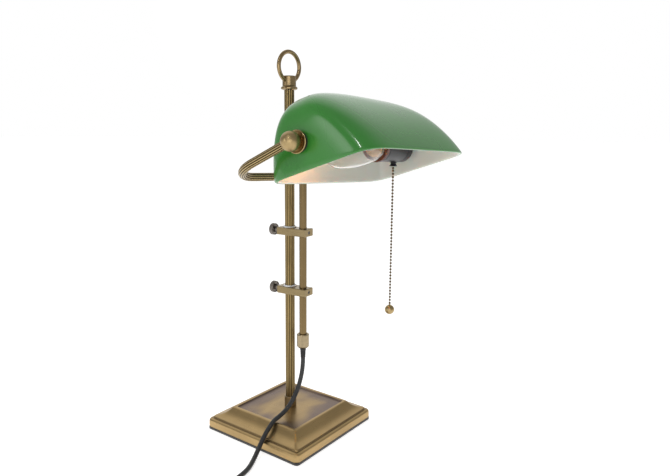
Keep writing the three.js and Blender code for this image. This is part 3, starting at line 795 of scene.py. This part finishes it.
def base_felt():
    half = 81.8
    levels = [(half - 0.5, 0), (half, 0.4), (half, 3.0), (half - 0.3, 3.3)]
    return loft([square_ring(h, z, 5.0) for h, z in levels])


POLE_FLUTES = 16


def fluted_pole():
    low, high = span("main_pole")
    outer = reeded(6.5, POLE_FLUTES, 0.55)
    inner = circle(5, len(outer))
    levels = ((inner, low), (outer, low), (outer, low + 1), (outer, high - 1), (outer, high), (inner, high))
    return stacked(levels, closed=True)


def add_base():
    piece("base_casting", base_casting(), "base_brass", "base", "base_shell")
    piece("base_felt", base_felt(), "felt", "base", "base_pad")
    pole = piece("fluted_pole", fluted_pole(), "pole_brass", "base", "main_pole", degrees=50)
    mark_grooves(pole, POLE_FLUTES)
    low = span("pole_collar")[0]
    high = low + 14.6
    ferrule = [(6.7, low), (8.3, low), (8.3, high - 0.5), (7.8, high), (6.7, high)]
    piece("pole_ferrule", lathed(ferrule, 0.3), "soft_brass", "base", "pole_collar")
    keep("base_weight", "cast_iron")
    for node in ("pole_stud", "pole_washer", "pole_nut", "finial_stud"):
        keep(node, "steel")


add_base()


# ---- finial
def add_finial():
    place = spin(math.radians(-3), "Z")
    low, high = span("finial_flange")
    lip = [(4.9, low), (8.4, low), (10.7, low + 1.1), (10.7, high - 1.5), (9.2, high), (4.9, high)]
    piece("finial_lip", lathed(lip, 0.5), "dark_bronze", "base", "finial_flange", place=place)
    low, high = span("finial_ring")[0], 480
    block_profile = [(0, low), (8.8, low), (8.8, high - 1), (7.9, high), (0, high)]
    block = shape_object("finial_loop", lathed(block_profile, 0.5), place)
    major, minor, middle = 18.7, 2.65, 491.3
    section = circle(1, 28)
    rings = []
    for turn in around(96):
        out = Vector((math.cos(turn), 0, math.sin(turn)))
        rings.append([tuple(out * (major + minor * u) + Vector((0, minor * v, middle))) for u, v in section])
    carve(block, [(loft(rings, closed=True), place)], "UNION")
    settled_piece(block, "dark_bronze", "base", "finial_ring")


add_finial()


# ---- carriage
def thumbscrew():
    """Screw along Z: shank, neck and a knurled head with a hollow round the neck."""
    head = [(3.9, 25.0), (6.3, 25.0), (6.6, 23.9), (7.5, 23.9), (8, 24.5), (8, 29.1), (7.3, 29.8)]
    dimple = [(4.2, 29.8), (3.8, 29.2), (0, 29.2)]
    shank = [(0, 8.6), (2.5, 8.6), (2.5, 15.6), (3.9, 15.6)]
    points, faces = lathed(shank + head + dimple, 0.35, 120, 3)
    knurled = []
    for x, y, z in points:
        radius = math.hypot(x, y)
        if radius > 7.6:
            shrink = 1 - 0.03 * (0.5 + 0.5 * math.cos(40 * math.atan2(y, x)))
            x, y = x * shrink, y * shrink
        knurled.append((x, y, z))
    return knurled, faces


def set_screw():
    """A grub screw along Z with a hexagon socket in its end."""
    sides = 36
    levels = [(circle(radius, sides), z) for radius, z in ((2.0, 0), (2.0, 3.5), (1.8, 3.9))]
    levels += [(polar(hexagon(1.0, sides)), z) for z in (3.9, 2.2)]
    return stacked(levels)


def add_carriage():
    back, front, wide = 15.1, 31.3, 9.6
    corners = [(-wide, -front), (wide, -front), (wide, back), (-wide, back)]
    tube_middle = -math.hypot(HEAD_AXIS.x, HEAD_AXIS.y)
    backwards, forwards = spin(-QUARTER, "X"), spin(QUARTER, "X")
    for name in ("upper", "lower"):
        low, high = span(f"{name}_clamp")
        half = (high - low) / 2
        place = shift(z=(low + high) / 2) @ spin(CARRIAGE_TURN, "Z")
        bar = shape_object(f"{name}_clamp_bar", stacked([(corners, -half), (corners, half)]), place)
        chamfer(bar, 0.55)
        cutters = [
            (rod(8.35, -9, 9), place),
            (rod(5.15, -9, 9), place @ shift(y=tube_middle)),
            (rod(2.8, 6, 20, 48), place @ backwards),
            (rod(2.25, -4, 4, 48), place @ shift(y=-front) @ forwards),
        ]
        if name == "lower":
            cutters.append((rod(0.75, -2, 2, 24), place @ shift(-5.6, 8.2, half)))  # a pin hole
        carve(bar, cutters)
        settled_piece(bar, "clamp_brass", "carriage", f"{name}_clamp")
        lip = [(6.8, -half), (8.2, -half), (8.2, half), (9.1, half + 0.15), (8.9, half + 1.2)]
        lip += [(7.6, half + 2), (6.8, half + 2)]
        piece(f"{name}_bush", lathed(lip, 0.25), "nylon", "carriage", f"{name}_bushing", place=place)
        in_end = place @ shift(y=-26.99) @ forwards
        piece(f"{name}_grub_screw", set_screw(), "pewter", "carriage", f"{name}_set_screw", place=in_end)
        screw = f"{name}_thumbscrew"
        in_back = place @ backwards
        piece(f"{name}_knob", thumbscrew(), "pewter", screw, screw, place=in_back, slot="dark_bronze")


add_carriage()


# ---- slide tube and yoke
ARM = Vector((0, -90.3, 41.5))  # from the yoke's middle to its pivots
BALL_X = 131.6  # from the pivot line's middle to each ball
YOKE_BEND = 41.5
YOKE_PLACE = PIVOT_PLACE @ shift(*-ARM)


def yoke_line():
    """Along X, round a quarter bend and up the arm, and the same mirrored."""
    up = ARM.normalized()
    half = [Vector((x, 0, 0)) for x in (0, 20, 50, 80)]
    for turn in np.linspace(0, QUARTER, 25):
        reach = Vector((BALL_X - YOKE_BEND + YOKE_BEND * math.sin(turn), 0, 0))
        half.append(reach + up * YOKE_BEND * (1 - math.cos(turn)))
    half += [Vector((BALL_X, 0, 0)) + up * reach for reach in (52, 76, ARM.length - 6.5)]
    mirrored = [Vector((-p.x, p.y, p.z)) for p in reversed(half[1:])]
    return mirrored + half


def add_slide_tube():
    stem = sleeve(3.8, 5, *span("slide_tube"), 0.4)
    piece("slide_stem", stem, "tube_brass", "head", "slide_tube", place=HEAD)
    low, high = span("cord_gland")
    low, high, shoulder = low + 3.2, high + 1.6, 124.7
    gland = [(4.3, low), (6.6, low), (8.3, low + 2), (8.3, high - 1), (7.6, high), (5.3, high)]
    gland += [(5.3, shoulder), (4.3, shoulder)]
    piece("gland_nut", lathed(gland, 0.3), "soft_brass", "head", "cord_gland", place=HEAD)


def add_yoke():
    reeds = 12
    bent = swept(yoke_line(), reeded(5, reeds, 0.75))
    yoke = piece("reeded_yoke", bent, "yoke_brass", "head", "yoke_tube", place=YOKE_PLACE, degrees=60)
    mark_grooves(yoke, reeds)
    low, high = span("yoke_hub")
    low += 7
    barrel = [(0, low), (7.6, low), (8.2, low + 1.6), (9, low + 2.4), (9, high - 5), (8.3, high - 4)]
    barrel += [(7.2, high - 1.8), (4.6, high - 0.3), (0, high)]
    hub = shape_object("hub_barrel", lathed(barrel, 0.6), HEAD)
    tunnel = rod(5.1, -30, 30, 64)
    seat = rod(5.15, low - 5, low + 12, 64)
    carve(hub, [(tunnel, YOKE_PLACE @ shift(3.6) @ ALONG_X), (seat, HEAD)])
    settled_piece(hub, "antique_brass", "head", "yoke_hub")


add_slide_tube()
add_yoke()


# ---- shade pivots
HALF_LENGTH = 116.6  # of the glass shade
WALL = 3.5


def threaded(radius, low, high, pitch=1.0, depth=0.35):
    root = radius - depth
    profile = [(0, low), (root, low)]
    for i in range(int((high - low - 0.8) / pitch)):
        z = low + 0.5 + i * pitch
        profile += [(root, z), (radius, z + pitch / 2)]
    profile += [(root, high), (0, high)]
    return turned(profile, 48)


def ball_knob():
    """A ball whose neck sits in the cup. The outline runs from its outer end to the neck."""
    radius, neck, neck_end = 10.8, 6.4, -9.3
    stop = math.pi - math.asin(neck / radius)
    profile = [(radius * math.sin(a), radius * math.cos(a)) for a in np.linspace(0, stop, 31)]
    return turned([*profile, (neck, neck_end), (0, neck_end)])


def add_pivots():
    cup_face = HALF_LENGTH + 1.3
    glass_in = HALF_LENGTH - WALL
    cup = [(5.3, 0), (8.4, 0), (9.6, 0.8), (12.0, 2.8), (12.6, 3.4), (12.6, 4.2), (11.9, 4.7)]
    cup += [(9.8, 4.1), (5.3, 4.1)]
    nut = hex_nut(5.2, 9.8, glass_in - 5.8, glass_in - 2)
    seal = sleeve(5.4, 11.2, HALF_LENGTH + 0.3, cup_face - 0.3)
    disc = sleeve(5.4, 10.4, glass_in - 1.7, glass_in - 0.3)
    for side, turn, reach in (("left", math.pi, 105.5), ("right", 0.0, 99)):
        out = PIVOT_PLACE @ spin(turn, "Z") @ ALONG_X
        tilted = SHADE_PLACE @ spin(turn, "Z") @ ALONG_X
        nipple = threaded(4.9, reach, BALL_X - 5.2)
        on_cup = out @ shift(z=cup_face)
        on_ball = out @ shift(z=BALL_X)
        for name, solid, surface, body, node, place in (
            ("ball_knob", ball_knob(), "satin_brass", "head", "ball", on_ball),
            ("cup_washer", lathed(cup, 0.3), "antique_brass", "head", "cup", on_cup),
            ("threaded_nipple", nipple, "steel", "head", "nipple", out),
            ("hex_nut", nut, "steel", "head", "lock_nut", out),
            ("rubber_seal", seal, "rubber", "shade", "gasket", tilted),
            ("steel_washer", disc, "steel", "shade", "washer", tilted),
        ):
            piece(f"{side}_{name}", solid, surface, body, f"{side}_{node}", place=place)


add_pivots()


# ---- glass shade
HALF_DEPTH = 71.8
SHADE_HEIGHT = 88.5
RIM_DROP = 31.1  # from the pivots down to the rim
RIM_SHIFT = -12.5
SHADE_LEAN = 0.149  # how far the shade goes sideways as it rises
RIM_ROUND = 1.5  # how far up the wall the rounded edge starts
SHADE_COLUMNS = 208
SHADE_ROWS = 60


def shade_ring(level, inset):
    """One level of the shade: a superellipse that grows squarer towards the rim."""
    half_length = (HALF_LENGTH - inset) * (1 - level**7.04) ** (1 / 3.78)
    half_depth = (HALF_DEPTH - inset) * (1 - level**1.28) ** (1 / 2.19)
    rise = (SHADE_HEIGHT - inset) * level
    middle = RIM_SHIFT + SHADE_LEAN * rise
    x, y = squircle(8.2 - 5.4 * level, SHADE_COLUMNS)
    return np.stack([half_length * x, middle + half_depth * y, np.full(len(x), rise - RIM_DROP)], 1)


def shade_shell():
    """The glass wall from the outer top, down over the rounded rim and up to the inner top.

    It also gives how many of its first faces are green.
    """
    walls = []
    for inset in (0, WALL):
        start = RIM_ROUND / (SHADE_HEIGHT - inset)
        spread = [1 - (1 - r / SHADE_ROWS) ** 2.2 for r in range(SHADE_ROWS)]
        walls.append([shade_ring(start + (1 - start) * share, inset) for share in spread])
    edge = []
    for turn in np.linspace(0, math.pi, 9)[1:-1]:
        inset = WALL / 2 * (1 - math.cos(turn))
        rise = RIM_ROUND * (1 - math.sin(turn))
        edge.append(shade_ring(rise / (SHADE_HEIGHT - inset), inset))
    green_rows = SHADE_ROWS + 4  # to halfway round the rim
    whole = walls[0][::-1] + edge + walls[1]
    points, faces = loft(whole)
    faces = faces[:-2]
    for ring_start, inset in ((0, 0), ((len(whole) - 1) * SHADE_COLUMNS, WALL)):
        top = len(points)
        rise = SHADE_HEIGHT - inset
        points.append((0, RIM_SHIFT + SHADE_LEAN * rise, rise - RIM_DROP))
        faces += [
            (ring_start + i, ring_start + (i + 1) % SHADE_COLUMNS, top) for i in range(SHADE_COLUMNS)
        ]
    return (points, faces), green_rows * SHADE_COLUMNS


def add_shade():
    solid, green_faces = shade_shell()
    shade = shape_object("glass_shade", solid, SHADE_PLACE)
    for name in ("shade_green", "shade_opal"):
        shade.data.materials.append(SURFACES[name].material)
    count = len(shade.data.polygons)
    outer_fan = range(count - 2 * SHADE_COLUMNS, count - SHADE_COLUMNS)
    for face in shade.data.polygons:
        face.material_index = 0 if face.index < green_faces or face.index in outer_fan else 1
    reach = HALF_LENGTH + 10
    carve(shade, [(rod(5.6, -reach, reach, 48), SHADE_PLACE @ ALONG_X)])
    crisp(shade, 60)
    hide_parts("shade_glass")
    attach(shade, "shade")


add_shade()


# ---- lampholder
CHAIN_X = 79.9
LAMP_PLACE = PIVOT_PLACE @ ALONG_X
OUTLET_PLACE = PIVOT_PLACE @ shift(CHAIN_X)


def grooved(radius, marks, depth=0.45):
    """Outline points of a plain wall with a round-bottomed groove at each mark."""
    made = []
    for x in marks:
        made += [(radius, x - 0.5), (radius - depth, x - 0.2), (radius - depth, x + 0.2), (radius, x + 0.5)]
    return made


def add_lampholder():
    cap = [(18.5, 90.2), (18.5, 97), (17.2, 100.8), (14.6, 104.2), (9.2, 106.9), (5.2, 106.9), (5.2, 102)]
    cap += [(13.5, 100.5), (16.3, 96), (16.3, 90.2)]
    piece("holder_cap", lathed(cap, 0.8), "black_plastic", "head", "socket_cap", place=LAMP_PLACE)
    body = [(16.3, 38.3), (18.5, 38.3), *grooved(18.5, (41.5, 87)), (18.5, 90), (16.3, 90)]
    shell = shape_object("holder_body", lathed(body, 0.3, 96, 2), LAMP_PLACE)
    carve(shell, [(rod(3.3, -26, -5, 48), OUTLET_PLACE)])
    settled_piece(shell, "black_plastic", "head", "socket_body")
    ring = [(14.7, 33), (19.0, 33), (19.4, 33.5), (19.4, 34.6), (19.0, 35), (19.0, 36), (19.4, 36.4)]
    ring += [(19.4, 37.6), (18.8, 38.1), (14.7, 38.1)]
    piece("holder_ring", lathed(ring, 0.3, 96), "brown_plastic", "head", "socket_ring", place=LAMP_PLACE)
    keep("socket_insert", "porcelain")
    keep("screw_shell", "soft_brass")
    keep("bulb_cap", "soft_brass")
    bell = [(2, -16.4), (3.1, -16.4), (3.1, -18.6), (4.4, -18.7), (4.4, -19.6), (3.3, -20), (3.6, -21.4)]
    bell += [(5.4, -24), (4.7, -24), (2.9, -21.6), (2, -20.6)]
    piece("chain_outlet", lathed(bell, 0.2, 48), "black_plastic", "head", "bell_mouth", place=OUTLET_PLACE)


add_lampholder()


# ---- bulb
BULB_X = -39.5
BULB_R = 27.5


def bulb_outline(radius):
    """(radius, x) down the bulb: half a sphere, then the taper to the neck."""
    thin = BULB_R - radius
    ball = [(radius * math.sin(a), BULB_X - radius * math.cos(a)) for a in np.linspace(0, QUARTER, 18)]
    taper = [(27.4, -31), (26.4, -16), (24.4, -2), (21.8, 12), (19.2, 23), (17.6, 29), (15.2, 31.6)]
    taper += [(13.2, 32.6), (12.6, 36)]
    line = smooth_line(ball + [(wide - thin, x) for wide, x in taper], 1.6)
    return [(0.0 if i == 0 else wide, x) for i, (wide, x) in enumerate(line)]


def wire(points, radius, sides=8, step=1.5):
    return swept(smooth_line(points, step), circle(radius, sides))


def filament_hooks():
    """Where a filament that zigzags round the stem hangs: eight legs between two rings of hooks."""
    legs = 8
    hooks = []
    for i in range(legs + 1):
        turn = math.radians(40 + 280 * i / legs)
        radius, x = (10.5, -50) if i % 2 else (7.5, -22)
        hooks.append((x, radius * math.cos(turn), radius * math.sin(turn)))
    return hooks


def bulb_envelope():
    """Outer and inner skin of the glass, joined by a rim at the neck."""
    sides = 96
    outer, inner = (turned(bulb_outline(radius), sides) for radius in (BULB_R, BULB_R - 0.9))
    points, faces = merged(outer, inner)
    a, b = len(outer[0]) - sides, len(points) - sides
    for i in range(sides):
        j = (i + 1) % sides
        faces.append((a + i, a + j, b + j, b + i))
    return points, faces


def add_bulb():
    piece("bulb_envelope", bulb_envelope(), "bulb_glass", "head", "bulb_glass", place=LAMP_PLACE)
    stem = [(0, -48.6), (1.3, -48.2), (1.5, -47.2), (0.8, -46), (0.8, -22), (1.6, -18), (3.2, -14), (3.4, -2)]
    stem += [(4.5, 12), (8.8, 31), (0, 31)]
    piece("bulb_stem", lathed(stem, 0.4, 40), "clear_glass", "head", "bulb_mount", place=LAMP_PLACE)
    hooks = filament_hooks()
    strung = []
    for first, last in zip(hooks, hooks[1:]):
        strung += [tuple(np.array(first) * (1 - t) + np.array(last) * t) for t in (0.04, 0.5, 0.96)]
    piece("bulb_filament", wire(strung, 0.22), "glowing_wire", "head", place=PIVOT_PLACE)
    wires = []
    for i, (x, y, z) in enumerate(hooks):
        root = -47.4 if i % 2 else -21.4
        wires.append(wire([(root, 0, 0), ((root + x) / 2, y * 0.5, z * 0.5), (x, y, z)], 0.14, 6))
    for x, y, z in (hooks[0], hooks[-1]):
        leads = [(along, y * share, z * share) for along, share in ((26, 0.35), (0, 0.5), (-14, 0.7), (x, 1))]
        wires.append(wire(leads, 0.25))
    piece("bulb_wires", merged(*wires), "steel", "head", place=PIVOT_PLACE)


add_bulb()


# ---- pull chain
BEAD_R = 1.6
BEAD_PITCH = 4.3
CHAIN_AT = Vector(joints["chain_swing_forward"]["pos_m"]) / MM


def bead(middle, radius=BEAD_R):
    """A bead about Z with a small waist at each hole."""
    angle = math.asin(0.5 / radius)
    turns = np.linspace(angle, math.pi - angle, 11)
    half = radius * math.cos(angle)
    wall = [(radius * math.sin(a), middle + radius * math.cos(a)) for a in turns]
    return turned([(0, middle + half), *wall, (0, middle - half)], 20)


def link(low, high):
    return rod(0.28, low, high, 10)


def add_chain():
    hang = shift(*CHAIN_AT)
    first = -BEAD_R - 0.4
    top = merged(link(-24, -10), *(bead(z, 1.25) for z in (-12.2, -16.2, -20.2)))
    piece("pull_wire", top, "chain_brass", "pull_link", "pull_link", place=OUTLET_PLACE)
    lead_bead = merged(bead(first), link(first - 3.6, -0.25))
    piece("first_bead", lead_bead, "chain_brass", "pull_bead", "pull_bead", place=hang)
    start = first - BEAD_PITCH + 0.9
    spots = [start - i * BEAD_PITCH for i in range(43)]
    links = [link(below + 1, above - 1) for above, below in zip(spots, spots[1:])]
    chain = merged(*(bead(z) for z in spots), *links)
    piece("bead_chain", chain, "chain_brass", "pull_chain", "pull_chain", place=hang)
    low, high = (z - CHAIN_AT.z for z in span("pull_ball"))
    low -= 0.6
    radius = 6.5
    middle = low + radius
    profile = [(0, low)]
    for turn in np.linspace(0, math.pi - 0.34, 25)[1:]:
        profile.append((radius * math.sin(turn), middle - radius * math.cos(turn)))
    profile += [(1.5, profile[-1][1] + 0.3), (1.5, high - 0.3), (1.2, high), (0, high)]
    piece("chain_ball", turned(profile, 56), "satin_brass", "pull_chain", "pull_ball", place=hang)


add_chain()


# ---- floor and light
SHADE_MIDDLE = Vector((-0.11, -0.17, 0.4))  # metres


def add_floor():
    mesh = bpy.data.meshes.new("floor")
    half = 30.0  # metres
    corners = [(-half, -half, 0), (half, -half, 0), (half, half, 0), (-half, half, 0)]
    mesh.from_pydata(corners, [], [(0, 1, 2, 3)])
    floor = bpy.data.objects.new("floor", mesh)
    scene.collection.objects.link(floor)
    surface = Surface("floor", Roughness=1.0, Specular_IOR_Level=0.0, Emission_Strength=0.62)
    surface.color(surface.mixed(surface.noise(3), (0.8, 0.8, 0.8), (0.79, 0.79, 0.79)))
    mesh.materials.append(surface.material)


def add_softbox(name, spot, target, width, height, radiance, mirrored=True, diffuse=True):
    data = bpy.data.lights.new(name, "AREA")
    data.shape = "RECTANGLE"
    data.size = width
    data.size_y = height
    data.energy = radiance * math.pi * width * height
    light = bpy.data.objects.new(name, data)
    light.visible_glossy = mirrored
    light.visible_diffuse = diffuse
    way = Vector(target) - Vector(spot)
    light.matrix_world = shift(*spot) @ way.to_track_quat("-Z", "Y").to_matrix().to_4x4()
    scene.collection.objects.link(light)


def add_bulb_light():
    """The bulb's own warm light, set off its far end. It moves with the head."""
    data = bpy.data.lights.new("bulb_light", "POINT")
    data.energy = 0.17
    data.color = (1.0, 0.45, 0.16)
    data.shadow_soft_size = 0.01
    light = bpy.data.objects.new("bulb_light", data)
    light.location = (PIVOT_PLACE @ Vector((-69, 0, 0))) * MM
    scene.collection.objects.link(light)
    light.visible_glossy = False
    light.parent = frame["bodies"]["head"]


def add_world():
    """A studio with a bright wall beyond the lamp and a dim near side. Its backdrop shows white."""
    world = bpy.data.worlds.new("studio")
    world.use_nodes = True
    made = Nodes(world.node_tree)
    facing = made.node("TexCoord").outputs["Generated"]

    def lobe(way, low, high, to_high, to_low=0.0):
        near = made.node("VectorMath", facing, Vector(way).normalized(), operation="DOT_PRODUCT")
        return made.ranged(near.outputs["Value"], low, high, to_low, to_high)

    wall = lobe((0.8, 0.6, 0), -0.3, 0.6, 0.42, 0.38)
    bright = lobe((0.8, 0.6, -0.2), 0.8, 0.97, 0.55)
    above = lobe((0.42, 0.56, 0.71), 0.68, 0.96, 0.55)
    left = lobe((-0.864, 0.459, 0.208), 0.972, 0.9992, 2.4)
    studio = made.plus(made.plus(wall, bright), made.plus(above, left))
    seen = made.node("LightPath").outputs["Is Camera Ray"]
    backdrop = made.tree.nodes["Background"]
    made.feed(backdrop.inputs["Color"], (1, 1, 1))
    made.feed(backdrop.inputs["Strength"], made.math("MAXIMUM", studio, seen))
    scene.world = world


def sky_spot(azimuth, elevation, distance):
    """A point seen from the shade at the given angles, in metres."""
    turn, lift = math.radians(azimuth), math.radians(elevation)
    way = Vector((math.cos(turn) * math.cos(lift), math.sin(turn) * math.cos(lift), math.sin(lift)))
    return SHADE_MIDDLE + way * distance


add_floor()
add_world()
add_softbox("overhead", (0.2, 0.3, 2.4), (0, 0, 0.3), 2.2, 2.2, 0.9, mirrored=False)
add_softbox("key", sky_spot(190, 43, 2.2), (-0.05, -0.1, 0.35), 0.16, 0.4, 24)
add_softbox("front", sky_spot(212, 8, 1.9), (0, -0.1, 0.4), 1.7, 0.8, 1.9, diffuse=False)
add_softbox("fill", sky_spot(238, 45, 2.2), (-0.05, -0.1, 0.35), 0.5, 0.5, 7, mirrored=False)
add_bulb_light()
